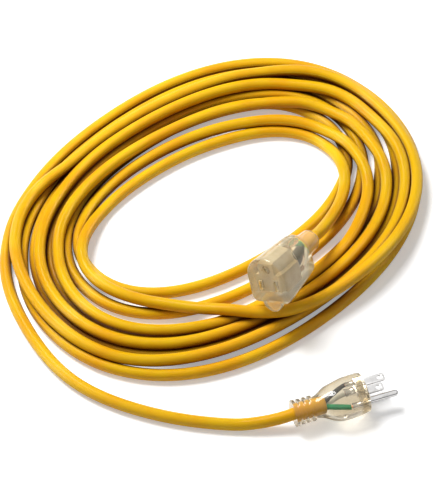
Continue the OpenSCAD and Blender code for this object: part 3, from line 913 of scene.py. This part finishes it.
@dataclass
class CordRoute:
    """Route of the cord from the connector through the coil to the plug."""

    diameter: float = 8.9
    lower_turns: float = 5.1
    upper_turns: float = 2.9
    climb_turns: float = 0.5
    layer_step: float = 1.15
    coil_start: float = 152.0
    coil_from: float = 1 / 24
    loop_points: int = 96
    lower_outside: Oval = Oval(4.7, -2, 171.1, 129.7, 41.9, 2.23)
    lower_inside: Oval = Oval(-1.5, 17.4, 110.3, 61.9, 35.3, 2.23)
    upper_outside: Oval = Oval(5, 0, 159, 112, 36, 2.3)
    upper_inside: Oval = Oval(5, -8, 119, 77, 32, 2.1)
    spacing: float = 4.5
    sink: float = 0.11
    rounds: int = 48
    eased_rounds: int = 36
    sinking_rounds: tuple[int, int] = (4, 40)
    push_share: float = 0.35
    push_smoothing: int = 8
    held_points: int = 6
    tail: tuple[Point, ...] = (
        (-153.9, -54.2, 4.3), (-148.3, -73.2, 4.5), (-140.6, -90.8, 4.5),
        (-129.2, -111.8, 4.5), (-116.5, -130.8, 4.5), (-100.5, -147.9, 4.5),
        (-77.9, -161.4, 4.5), (-51.3, -171.5, 4.5), (-22.7, -179.4, 4.5),
        (3.6, -182.4, 5.5), (26.5, -184.6, 9.6),
    )
    lead: tuple[Point, ...] = (
        (-144, 6, 14), (-115.5, 36.5, 14), (-81, 71, 14.5),
        (-38.5, 102.5, 14.5), (8.5, 125.5, 14), (54, 137, 14),
        (98, 127, 14), (131, 99, 14), (154, 55, 15.5),
        (155, 16, 13.5), (140, -24.5, 21), (117, -55, 23),
        (86, -80.5, 22.4), (53.5, -98.5, 23), (23.6, -97.5, 23.8),
        (2.1, -92.4, 21.7), (-23.3, -87.7, 16.1), (-45, -82.2, 14.8),
        (-68.3, -77.9, 18), (-90.5, -62.9, 17.6), (-99.8, -44.4, 16.4),
        (-99.8, -27, 14.8), (-93.9, -12.9, 13), (-80.1, 10.1, 5.9),
        (-63.5, 27.6, 5.1), (-20, 60, 4.5), (31.7, 80.3, 5.5),
        (62.6, 83.7, 4.3), (87.4, 71.7, 6.3), (102.3, 46.2, 13.1),
        (102.8, 22.9, 13.1), (93.9, -0.4, 17), (85.3, -19.5, 25.3),
    )

    def _at(self, t: float) -> np.ndarray:
        """Work out a point of the coil.

        Args:
            t: Turns from the outside of the lower layer.

        Returns:
            The point, in millimetres.
        """
        half = self.climb_turns / 2
        u = t - self.lower_turns
        s = min(1.0, max(0.0, u / self.climb_turns + 0.5))
        s = s * s * (3 - 2 * s)
        g = abs(u) if abs(u) >= half else u * u / (2 * half) + half / 2
        f = (g / self.lower_turns) * (1 - s) + (g / self.upper_turns) * s
        angle = self.coil_start - 360 * t
        inner = self.lower_inside.mixed(self.upper_inside, s).point(angle)
        outer = self.lower_outside.mixed(self.upper_outside, s).point(angle)
        flat = inner * (1 - f) + outer * f
        z = 0.4 * self.diameter + s * self.layer_step * self.diameter
        return np.array([flat[0], flat[1], z])

    def _coil(self) -> np.ndarray:
        """Centre line of the coil, from the tail's end to the lead's."""
        turns = self.lower_turns + self.upper_turns - self.coil_from
        count = round(turns * self.loop_points)
        return np.array(
            [self._at(self.coil_from + turns * k / count) for k in range(count + 1)]
        )

    @staticmethod
    def _smooth(points: Sequence[np.ndarray], steps: int = 12) -> np.ndarray:
        """Smooth curve through points, straight at its two ends."""
        p = [np.asarray(q, float) for q in points]
        out = [p[0]]
        for i in range(1, len(p) - 2):
            a, b, c, d = p[i - 1], p[i], p[i + 1], p[i + 2]
            for k in range(steps):
                t = k / steps
                out.append(
                    (
                        2 * b
                        + (c - a) * t
                        + (2 * a - 5 * b + 4 * c - d) * t * t
                        + (3 * b - a - 3 * c + d) * t**3
                    )
                    / 2
                )
        return np.array(out + [p[-2], p[-1]])

    def build(
        self, start: Vector, start_way: Vector, end: Vector, end_way: Vector,
        start_inside: float, end_inside: float,
    ) -> np.ndarray:
        """Work out the whole route.

        Args:
            start: Where the cord leaves the connector, in millimetres.
            start_way: The way from there into the connector.
            end: Where the cord goes into the plug.
            end_way: The way from there into the plug.
            start_inside: Length held in the connector.
            end_inside: Length held in the plug.

        Returns:
            Points in shared metres, evenly spaced.
        """
        d = self.diameter
        coil = self._coil()
        step = self.loop_points // 24
        tail_way = coil[0] - self._at(self.coil_from + 0.002)
        lead_way = coil[-1] - coil[-1 - step]
        tail_from = coil[0] + d * tail_way / np.linalg.norm(tail_way)
        lead_from = coil[-1] + d * lead_way / np.linalg.norm(lead_way)
        s, sw = np.array(start), np.array(start_way)
        e, ew = np.array(end), np.array(end_way)
        tail = self._smooth(
            [tail_from, 2 * tail_from - coil[0], *self.tail, e - d * ew, e]
        )
        lead = self._smooth(
            [lead_from, 2 * lead_from - coil[-1], *self.lead, s - d * sw, s]
        )
        line = np.vstack(
            [s + start_inside * sw, lead[::-1], coil[::-1], tail, e + end_inside * ew]
        )
        return self._settle(self._even(line))

    def _even(self, line: np.ndarray) -> np.ndarray:
        """Space points evenly along a line."""
        gaps = np.linalg.norm(np.diff(line, axis=0), axis=1)
        at = np.r_[0.0, np.cumsum(gaps)]
        marks = np.linspace(0.0, at[-1], int(at[-1] / self.spacing) + 1)
        return np.stack([np.interp(marks, at, line[:, i]) for i in range(3)], 1)

    def _settle(self, line: np.ndarray) -> np.ndarray:
        """Let the turns sink onto each other, eased and pressed apart."""
        ends = line.copy()
        held = self.held_points
        apart = int(4 * self.diameter / self.spacing)
        for turn in range(self.rounds):
            if turn < self.eased_rounds:
                line[1:-1] = (line[:-2] + 2 * line[1:-1] + line[2:]) / 4
            if turn in range(*self.sinking_rounds):
                line[:, 2] -= self.sink
            push = np.zeros_like(line)
            for i in range(0, len(line) - apart):
                away = line[i] - line[i + apart:]
                reach = np.linalg.norm(away, axis=1)
                near = np.nonzero(reach < self.diameter)[0]
                for k in near:
                    share = (self.diameter - reach[k]) * self.push_share
                    share /= max(reach[k], 1e-6)
                    push[i] += away[k] * share / len(near)
                    push[i + apart + k] -= away[k] * share / len(near)
            for _ in range(self.push_smoothing):
                push[1:-1] = (push[:-2] + 2 * push[1:-1] + push[2:]) / 4
            line += push
            line[:, 2] = np.maximum(line[:, 2], self.diameter / 2)
            line[:held] = ends[:held]
            line[-held:] = ends[-held:]
        line = self._even(line)
        return (line - np.array(MIDDLE)) * MM


@dataclass
class Cord:
    """The yellow cord, one piece from inside the connector to the plug."""

    route: CordRoute
    sides: int = 20

    def build(self, path: np.ndarray, finish: JacketFinish) -> Object:
        """Make the jacket.

        Args:
            path: Its centre line in metres.
            finish: Its finish.

        Returns:
            The cord's object.
        """
        radius = self.route.diameter / 2 * MM
        mesh = tube_mesh("cord_jacket", path, radius, self.sides)
        cord = new_object("cord_jacket", mesh)
        mesh.materials.clear()
        mesh.materials.append(finish.material())
        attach(cord, BODY)
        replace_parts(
            cord, "cord_coil", "cord_tail", "cord_lead", "plug_jacket_end",
            "connector_jacket_end",
        )
        LOG.info("cord_jacket: %d points, %d faces", len(path), len(mesh.polygons))
        return cord


# ---- Conductors -----------------------------------------------------------


BARE_L = 1.25
WIRE_SIDES, WIRE_STEPS, WIRE_BEND = 16, 16, 0.08


class Conductor(Enum):
    """Insulated conductors: name, main colour, second colour."""

    BLACK = ("black", seen(18, 18, 18), seen(30, 29, 28))
    WHITE = ("white", seen(236, 234, 228), seen(216, 214, 206))
    GREEN = ("green", seen(0, 150, 96), seen(0, 122, 76))


Wires = Mapping[Conductor, Material]


def conductor_piece(
    name: str, place: Place, run: Sequence[Vector], diameter: float,
    material: Material,
) -> Object:
    """Make one insulated conductor that bends gently from end to end.

    Args:
        name: Name of the piece.
        place: The frame of the plug or connector.
        run: Its points in that frame: two at the jacket and two at the barrel.
        diameter: Diameter over the insulation.
        material: Its material.

    Returns:
        The object.
    """
    a, b, c, d = (np.array(q) for q in run)
    points = [a]
    bend = np.linalg.norm(c - b) * WIRE_BEND
    pull_b = b + bend * (b - a) / np.linalg.norm(b - a)
    pull_c = c - bend * (d - c) / np.linalg.norm(d - c)
    for t in np.arange(WIRE_STEPS + 1) / WIRE_STEPS:
        points.append(
            b * (1 - t) ** 3 + 3 * pull_b * t * (1 - t) ** 2
            + 3 * pull_c * t * t * (1 - t) + c * t**3
        )
    points.append(d)
    metres = place.metres()
    path = np.array([list(metres @ Vector(p)) for p in points])
    mesh = tube_mesh(name, path, diameter / 2 * MM, WIRE_SIDES)
    mesh.materials.clear()
    mesh.materials.append(material)
    piece = new_object(name, mesh)
    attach(piece, BODY)
    return piece


def lead_wires(
    owner: str, place: Place, ends: Mapping[Conductor, Point],
    run: tuple[float, float, float], size: tuple[float, float],
    wires: Wires,
) -> list[Object]:
    """Lead three conductors from a jacket's end to their barrels.

    Args:
        owner: First word of the pieces' names, plug or connector.
        place: The frame of the plug or connector.
        ends: Each conductor's angle in the jacket, and Y and Z of its barrel.
        run: X of the jacket's end, X of the insulation's end and length of the
            straight bit there.
        size: Radius of the ring that they leave the jacket on, and diameter.
        wires: Material of each conductor.

    Returns:
        The pieces.
    """
    start, end, straight = run
    ring, diameter = size
    pieces = []
    for kind, (angle, y, z) in ends.items():
        a = math.radians(angle)
        sy, sz = ring * math.cos(a), ring * math.sin(a)
        points = [
            Vector((start, sy, sz)), Vector((start + 1, sy, sz)),
            Vector((end - straight, y, z)), Vector((end, y, z)),
        ]
        colour = kind.value[0]
        piece = conductor_piece(
            f"{owner}_conductor_{colour}", place, points, diameter, wires[kind]
        )
        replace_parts(piece, f"{owner}_wire_{colour}")
        pieces.append(piece)
    return pieces


# ---- Plug -----------------------------------------------------------------


@dataclass
class Plug:
    """Clear moulded plug with two blades and a ground pin along its own X."""

    at: Vector = Vector((108.9, -161.9, 13.0))
    yaw: float = 18.5
    length: float = 54.5
    face_w: float = 25.0
    face_h: float = 30.5
    face_lift: float = 1.1
    face_round: float = 1.4
    relief_l: float = 19.0
    ribs: int = 4
    rib_t: float = 2.4
    rib_d: float = 19.5
    neck_d: float = 15.0
    jacket_l: float = 24.5
    blade_pitch: float = 12.7
    ground_offset: float = 11.9
    blade_t: float = 1.5
    blade_w: float = 6.35
    blade_l: float = 16.0
    hole_d: float = 3.2
    hole_in: float = 4.2
    pin_d: float = 4.8
    pin_l: float = 22.5
    prong_drop: float = 1.0
    shank_d: float = 4.0
    shank_back: float = -7.0
    barrel_l: float = 6.0
    barrel_d: float = 4.0
    wire_d: float = 3.0
    wire_ring: float = 1.98

    def place(self) -> Place:
        """The plug lies on its side, with the hot blade above the other."""
        turn = Matrix.Rotation(math.radians(self.yaw), 3, "Z") @ Matrix.Rotation(
            math.radians(-90), 3, "X"
        )
        return Place(self.at, turn)

    def way(self) -> Vector:
        """The way that the prongs point."""
        yaw = math.radians(self.yaw)
        return Vector((math.cos(yaw), math.sin(yaw), 0.0))

    def cord_end(self) -> Vector:
        """Where the cord goes in, in millimetres."""
        return self.at - self.length * self.way()

    def build(self, clear: Material, wires: Wires) -> list[Object]:
        """Make the plug's pieces.

        Args:
            clear: Material of the moulded body.
            wires: Material of each conductor.

        Returns:
            The pieces that are on the cord.
        """
        plated = MetalFinish(
            "plated_prong", (0.74, 0.73, 0.72), (0.46, 0.45, 0.43), 0.18,
            Grain.DRAWN, self.place().turn.inverted(),
        ).material()
        pieces = [self._body(clear)]
        half = self.blade_pitch / 2
        pieces.append(self._blade("blade_hot", -half, plated, "plug_blade_hot"))
        pieces.append(self._blade("blade_neutral", half, plated, "plug_blade_neutral"))
        pieces.append(self._pin(plated))
        pieces += self._wires(wires)
        bridge = PlasticFinish(
            "bridge_nylon", seen(246, 240, 226), seen(238, 230, 212), 0.2, 0.95, 1.04
        )
        dress("plug_bridge", bridge.material())
        return pieces

    def _body(self, clear: Material) -> Object:
        """Mould the body and its ribbed strain relief."""
        former = Former()
        stations = [former.across(-self.length, self.rib_d, self.rib_d)]
        pitch = (self.relief_l - self.rib_t) / self.ribs
        for number in range(self.ribs):
            x = -self.length + number * pitch
            wide = self.rib_d if number == 0 else self.rib_d - 0.7
            if number:
                stations.append(former.across(x, self.neck_d, self.neck_d))
                stations.append(former.across(x, wide, wide))
            stations.append(former.across(x + self.rib_t, wide, wide))
            stations.append(former.across(x + self.rib_t, self.neck_d, self.neck_d))
        for x, width, height, lift in self._skin():
            stations.append(former.across(x, width, height, lift))
        former.run_ellipses(stations, 64)
        former.soften(0.5, 50.0)
        piece = former.piece("plug_moulding", self.place(), clear)
        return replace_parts(piece, "plug_body")

    def _skin(self) -> list[tuple[float, float, float, float]]:
        """Ellipses of the grip: place, width, height and lift."""
        marks = [
            (-35.5, 17.0, 17.0, 0.0), (-32.0, 19.8, 21.0, 0.3),
            (-28.5, 22.9, 25.3, 0.0), (-25.0, 24.8, 28.0, -0.5),
            (-22.0, 25.5, 29.8, -0.7), (-18.0, 25.9, 31.3, -0.35),
            (-14.0, 26.0, 32.0, 0.0), (-9.0, 25.9, 31.8, 0.35),
            (-4.5, 25.4, 31.2, 0.8),
        ]
        w, h, edge = self.face_w, self.face_h, self.face_round
        for x, cut in ((-edge, 0.0), (-0.55, 0.35), (-0.15, 0.9), (0.0, edge)):
            marks.append((x, w - 2 * cut, h - 2 * cut, self.face_lift))
        return marks

    def _blade(self, name: str, y: float, metal: Material, node: str) -> Object:
        """Punch one blade with its hole, and roll its barrel."""
        former = Former()
        bm = former.bm
        z, w = self.ground_offset / 2 - self.prong_drop, self.blade_w
        corners = [
            (self.shank_back, z - w / 2), (self.blade_l, z - w / 2),
            (self.blade_l, z + w / 2), (self.shank_back, z + w / 2),
        ]
        verts = [bm.verts.new((x, y - self.blade_t / 2, h)) for x, h in corners]
        edges = [bm.edges.new((verts[i - 1], verts[i])) for i in range(4)]
        hole = bmesh.ops.create_circle(
            bm, segments=24, radius=self.hole_d / 2,
            matrix=Matrix.Translation(
                (self.blade_l - self.hole_in, y - self.blade_t / 2, z)
            )
            @ Matrix.Rotation(math.pi / 2, 4, "X"),
        )["verts"]
        rim = {e for v in hole for e in v.link_edges}
        bmesh.ops.triangle_fill(
            bm, use_beauty=True, use_dissolve=False, edges=edges + list(rim)
        )
        made = bmesh.ops.extrude_face_region(bm, geom=bm.faces[:])["geom"]
        lifted = [v for v in made if isinstance(v, Vert)]
        bmesh.ops.translate(bm, vec=(0.0, self.blade_t, 0.0), verts=lifted)
        tips = [
            e for e in bm.edges
            if all(abs(v.co.x - self.blade_l) < 1e-4 for v in e.verts)
            and abs(e.verts[0].co.y - e.verts[1].co.y) > 1e-3
        ]
        former.bevel(tips, w / 4, 3)
        former.soften(0.16, 60.0)
        bmesh.ops.recalc_face_normals(bm, faces=bm.faces[:])
        self._barrel(former, y, z, self.shank_back - 1)
        piece = former.piece(name, self.place(), metal)
        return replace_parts(piece, node)

    def _barrel(self, former: Former, y: float, z: float, front: float) -> None:
        """Roll the crimp barrel behind a prong."""
        r, back = self.barrel_d / 2, front - self.barrel_l
        bore = r - 0.45
        former.turned(
            [
                (front + 1, 0.0), (front + 1, r), (front, r), (front - 0.8, r),
                (front - 1.6, r * 0.9), (back + 1.6, r * 0.9),
                (back + 0.6, r), (back, r), (back, bore), (front - 1, bore),
                (front - 1, 0.0),
            ],
            y, z, 24,
        )

    def _pin(self, metal: Material) -> Object:
        """Turn the ground pin."""
        former = Former()
        r, tip = self.pin_d / 2, self.pin_l
        dome = [(tip - r + r * s, r * c) for c, s in arc(0, 75, 5)]
        profile = [
            (self.shank_back, 0.0), (self.shank_back, self.shank_d / 2),
            (0.25, self.shank_d / 2), (0.3, r - 0.15), (0.45, r),
            *dome, (tip, 0.0),
        ]
        low = -self.ground_offset / 2 - self.prong_drop
        former.turned(profile, 0.0, low, 40)
        self._barrel(former, 0.0, low, self.shank_back)
        piece = former.piece("ground_pin", self.place(), metal)
        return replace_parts(piece, "plug_ground_pin")

    def _wires(self, wires: Wires) -> list[Object]:
        """Lead the three conductors from the jacket to the barrels."""
        half, up = self.blade_pitch / 2, self.ground_offset / 2
        low = self.prong_drop
        ends = {
            Conductor.BLACK: (150.0, -half, up - low),
            Conductor.WHITE: (30.0, half, up - low),
            Conductor.GREEN: (-90.0, 0.0, -up - low),
        }
        start = -self.length + self.jacket_l
        end = self.shank_back - self.barrel_l - BARE_L
        return lead_wires(
            "plug", self.place(), ends, (start, end, 0.5),
            (self.wire_ring, self.wire_d), wires,
        )


# ---- Connector ------------------------------------------------------------


@dataclass
class Connector:
    """Clear moulded connector whose face looks along its own X."""

    at: Vector = Vector((38.7, -91.5, 54.2))
    yaw: float = 234.5
    pitch: float = 16.5
    roll: float = 27.0
    body_l: float = 44.0
    face_w: float = 33.0
    face_top: float = 16.0
    face_low: float = 20.0
    rear_share: float = 0.81
    rear_lift: float = 1.5
    corner_r: float = 5.0
    tab_w: float = 15.0
    tab_drop: float = 7.5
    tab_l: float = 5.5
    relief_l: float = 16.0
    relief_d: float = 19.0
    relief_end_d: float = 16.0
    wall: float = 3.0
    slot_hot: float = 7.0
    slot_neutral: float = 8.4
    slot_w: float = 2.2
    hole_d: float = 5.3
    jacket_l: float = 17.0
    blade_pitch: float = 12.7
    ground_offset: float = 11.9
    barrel_back: float = -30.0
    wire_d: float = 3.0
    wire_ring: float = 1.98

    def place(self) -> Place:
        """The connector is over the inner turns, with its face to the front."""
        turn = (
            Matrix.Rotation(math.radians(self.yaw), 3, "Z")
            @ Matrix.Rotation(math.radians(-self.pitch), 3, "Y")
            @ Matrix.Rotation(math.radians(self.roll), 3, "X")
        )
        return Place(self.at, turn)

    def way(self) -> Vector:
        """The way that the face looks."""
        return self.place().turn @ Vector((1.0, 0.0, 0.0))

    def cord_end(self) -> Vector:
        """Where the cord goes in, in millimetres."""
        return self.at - (self.body_l + self.relief_l) * self.way()

    def build(self, clear: Material, wires: Wires) -> list[Object]:
        """Make the connector's pieces.

        Args:
            clear: Material of the moulded body.
            wires: Material of each conductor.

        Returns:
            The new pieces.
        """
        turn = self.place().turn.inverted()
        # Painted shade: the contacts' brass and its stains are painted nearly black, in
        # place of the shade in the slots and the ground hole.
        shade_dark_brass = MetalFinish(
            "contact_brass", (0.34, 0.24, 0.12), (0.10, 0.07, 0.04), 0.34,
            Grain.STAMPED, turn,
        ).material()
        carrier = PlasticFinish(
            "carrier_nylon", seen(240, 230, 206), seen(224, 208, 176), 0.3, 0.55, 1.08
        ).material()
        for node in ("contact_hot", "contact_neutral", "contact_ground"):
            dress(node, shade_dark_brass)
        dress("connector_carrier", carrier)
        self._lamp(turn)
        return [self._body(clear), *self._wires(wires)]

    def _lamp(self, turn: Matrix) -> None:
        """Dress the lamp, its resistor and its leads."""
        glass = PlasticFinish(
            "lamp_glass", seen(248, 226, 196), seen(240, 190, 140), 0.12, 0.9
        )
        dress("lamp_glass", glass.material())
        leads = MetalFinish(
            "tinned_lead", (0.80, 0.80, 0.80), (0.62, 0.62, 0.62), 0.3,
            Grain.STAMPED, turn,
        )
        dress("lamp_leads", leads.material())
        start = turn @ ((self.at - MIDDLE) * MM)
        dress(
            "lamp_resistor",
            ResistorFinish().material(turn, start.x - 0.0345, 0.0065),
        )

    def _outline(
        self, x: float, share: float, drop: float, lift: float = 0.0
    ) -> list[Vector]:
        """Points round the body: arch, lower corner, tab and other corner.

        Args:
            x: Place along X.
            share: Size as a share of the face's.
            drop: Share of the tab that stands out.
            lift: Shift of the whole outline away from the tab.

        Returns:
            The points in order.
        """
        half, low = share * self.face_w / 2, share * self.face_low
        top, r = share * self.face_top, share * self.corner_r
        tab_r = self.tab_w / 2
        side = math.degrees(math.acos((tab_r - self.tab_drop) / tab_r))
        points: list[tuple[float, float]] = []
        points += [(half * c, top * s) for c, s in arc(0, 180, 32)]
        points += [(r - half + r * c, r - low + r * s) for c, s in arc(180, 90, 8)]
        wide = share * (1 - drop) + drop
        for c, s in arc(270 - side, 2 * side, 24):
            fall = self.tab_drop - tab_r * (1 + s)
            points.append((wide * tab_r * c, -low - drop * fall))
        points += [(half - r + r * c, r - low + r * s) for c, s in arc(270, 90, 8)]
        return [Vector((x, y, z + lift)) for y, z in points]

    def _round(self, x: float, diameter: float) -> list[Vector]:
        """The same number of points round a circle."""
        points = self._outline(x, 1.0, 0.0)
        return [
            Vector((x, *(diameter / 2 * Vector((q.y, q.z)).normalized())))
            for q in points
        ]

    def _body(self, clear: Material) -> Object:
        """Mould the body with its slots, ground hole, tab and strain relief."""
        former = Former()
        back = -self.body_l - self.relief_l
        stations = [
            self._round(back, self.relief_end_d - 1.6),
            self._round(back + 0.5, self.relief_end_d - 0.3),
            self._round(back + 1.2, self.relief_end_d),
            self._round(back + 8.0, (self.relief_end_d + self.relief_d) / 2 - 0.4),
            self._round(-self.body_l - 1.2, self.relief_d),
        ]
        for c, s in arc(0, 90, 6):
            share = self.rear_share * (0.66 + 0.34 * s)
            x = -self.body_l + 0.3 + 5 * (1 - c)
            stations.append(self._outline(x, share, 0.0, self.rear_lift))
        front = -self.tab_l
        for x, share, drop, lift in (
            (-33.0, 0.85, 0.0, 1.2), (-24.0, 0.90, 0.0, 0.8),
            (-15.0, 0.945, 0.0, 0.35), (front - 2.5, 0.98, 0.0, 0.0),
            (front - 1.6, 0.982, 0.06, 0.0), (front - 0.8, 0.985, 0.55, 0.0),
            (front, 0.988, 0.9, 0.0), (front + 0.8, 0.99, 1.0, 0.0),
            (-2.5, 1.0, 1.0, 0.0), (-1.4, 1.0, 1.0, 0.0), (-0.7, 0.993, 1.0, 0.0),
            (-0.2, 0.982, 1.0, 0.0), (0.0, 0.965, 1.0, 0.0),
        ):
            stations.append(self._outline(x, share, drop, lift))
        rim = former.run_outlines(stations)
        self._face(former, rim)
        piece = former.piece("connector_moulding", self.place(), clear)
        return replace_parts(piece, "connector_body")

    def _face(self, former: Former, rim: list[Vert]) -> None:
        """Close the face round its slots and hole, which go in to the block."""
        bm = former.bm
        edges = [bm.edges.get((rim[i - 1], rim[i])) for i in range(len(rim))]
        half, up = self.blade_pitch / 2, self.ground_offset / 2
        mouths = []
        for y, height in ((-half, self.slot_hot), (half, self.slot_neutral)):
            w, h = self.slot_w / 2, height / 2
            corners = [
                bm.verts.new((0.0, y + sy * w, -up + sz * h))
                for sy, sz in ((-1, -1), (1, -1), (1, 1), (-1, 1))
            ]
            mouths.append(corners)
        hole = bmesh.ops.create_circle(
            bm, segments=32, radius=self.hole_d / 2,
            matrix=Matrix.Translation((0.0, 0.0, up))
            @ Matrix.Rotation(math.pi / 2, 4, "Y"),
        )["verts"]
        hole = sorted(hole, key=lambda v: math.atan2(v.co.z - up, v.co.y))
        loops = []
        for corners in mouths:
            loops.append([bm.edges.new((corners[i - 1], corners[i])) for i in range(4)])
        loops.append([bm.edges.get((hole[i - 1], hole[i])) for i in range(32)])
        bmesh.ops.triangle_fill(
            bm, use_beauty=True, use_dissolve=False,
            edges=edges + [e for loop in loops for e in loop],
        )
        for loop in loops:
            made = bmesh.ops.extrude_edge_only(bm, edges=loop)["geom"]
            fresh = [v for v in made if isinstance(v, Vert)]
            bmesh.ops.translate(bm, vec=(-self.wall + 0.1, 0.0, 0.0), verts=fresh)
            deep = [e for e in bm.edges if e.verts[0] in fresh and e.verts[1] in fresh]
            bmesh.ops.holes_fill(bm, edges=deep, sides=0)

    def _wires(self, wires: Wires) -> list[Object]:
        """Lead the three conductors from the jacket to the barrels."""
        half, up = self.blade_pitch / 2, self.ground_offset / 2
        ends = {
            Conductor.BLACK: (-150.0, -half, -up),
            Conductor.WHITE: (-30.0, half, -up),
            Conductor.GREEN: (90.0, 0.0, up),
        }
        start = -self.body_l - self.relief_l + self.jacket_l
        return lead_wires(
            "connector", self.place(), ends, (start, self.barrel_back - BARE_L, 1.75),
            (self.wire_ring, self.wire_d), wires,
        )


def main() -> None:
    """Build the scene: studio, cord, plug, connector and what is in them."""
    logging.basicConfig(level=logging.INFO, format="%(name)s: %(message)s")
    Studio().build()
    plug, connector = Plug(), Connector()
    route = CordRoute()
    path = route.build(
        connector.cord_end(), connector.way(), plug.cord_end(), plug.way(),
        connector.jacket_l, plug.jacket_l,
    )
    length = float(np.linalg.norm(np.diff(path, axis=0), axis=1).sum())
    cord = Cord(route).build(
        path,
        JacketFinish(
            length=length, bonded_start=connector.jacket_l * MM,
            bonded_end=plug.jacket_l * MM,
        ),
    )
    clear = ClearVinylFinish("plug_vinyl").material()
    milky = ClearVinylFinish(
        "connector_vinyl", seen(246, 235, 204), seen(236, 219, 180), clearness=0.74
    ).material()
    wires = {
        kind: PlasticFinish(
            f"insulation_{kind.value[0]}", kind.value[1], kind.value[2], 0.3
        ).material()
        for kind in Conductor
    }
    copper = MetalFinish(
        "bare_copper", (0.85, 0.45, 0.28), (0.55, 0.27, 0.15), 0.35,
        Grain.STAMPED, Matrix.Identity(3),
    ).material()
    on_cord = plug.build(clear, wires)
    connector.build(milky, wires)
    dress("plug_copper", copper)
    dress("connector_copper", copper)
    leaves = connector.place().point(-connector.body_l - connector.relief_l)
    LOG.info("cord is %.3f m long", length)


if __name__ == "__main__":
    main()
